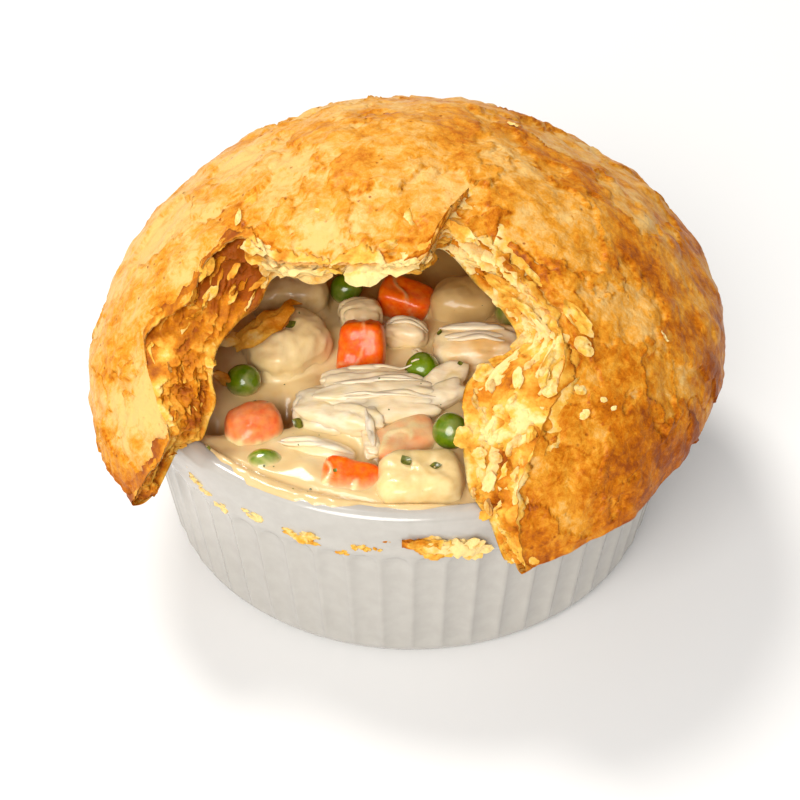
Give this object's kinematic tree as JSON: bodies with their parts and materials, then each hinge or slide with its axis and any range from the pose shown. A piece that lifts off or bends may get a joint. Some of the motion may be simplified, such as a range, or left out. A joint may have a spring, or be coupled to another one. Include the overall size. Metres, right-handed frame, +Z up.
{
  "type": "chicken pot pie",
  "caption": "Single-serve chicken pot pie: a puffed golden crust torn open over a creamy chicken and vegetable filling, baked in a fluted white porcelain ramekin.",
  "frame": {"origin": "middle of the ramekin's flat underside, on the surface it stands on", "axes": "+Z up; the torn opening in the crust faces -Y; +X is to the right when facing the opening"},
  "size_m": [0.1296, 0.1307, 0.087],
  "materials": {
    "porcelain": "gloss",
    "pastry": "satin",
    "pastry_pale": "satin",
    "cream_sauce": "gloss",
    "carrot": "gloss",
    "pea": "gloss",
    "potato": "satin",
    "chicken": "satin"
  },
  "bodies": {
    "root": {"ramekin": "porcelain", "crust": "pastry", "filling": "cream_sauce", "carrot_1": "carrot", "carrot_2": "carrot", "carrot_3": "carrot", "carrot_4": "carrot", "carrot_5": "carrot", "pea_1": "pea", "pea_2": "pea", "pea_3": "pea", "pea_4": "pea", "pea_5": "pea", "pea_6": "pea", "potato_1": "potato", "potato_2": "potato", "potato_3": "potato", "potato_4": "potato", "chicken_1": "chicken", "chicken_2": "chicken", "chicken_3": "chicken", "chicken_4": "chicken", "chicken_5": "chicken", "crust_flake": "pastry", "crust_scrap": "pastry_pale"}
  },
  "joints": []
}
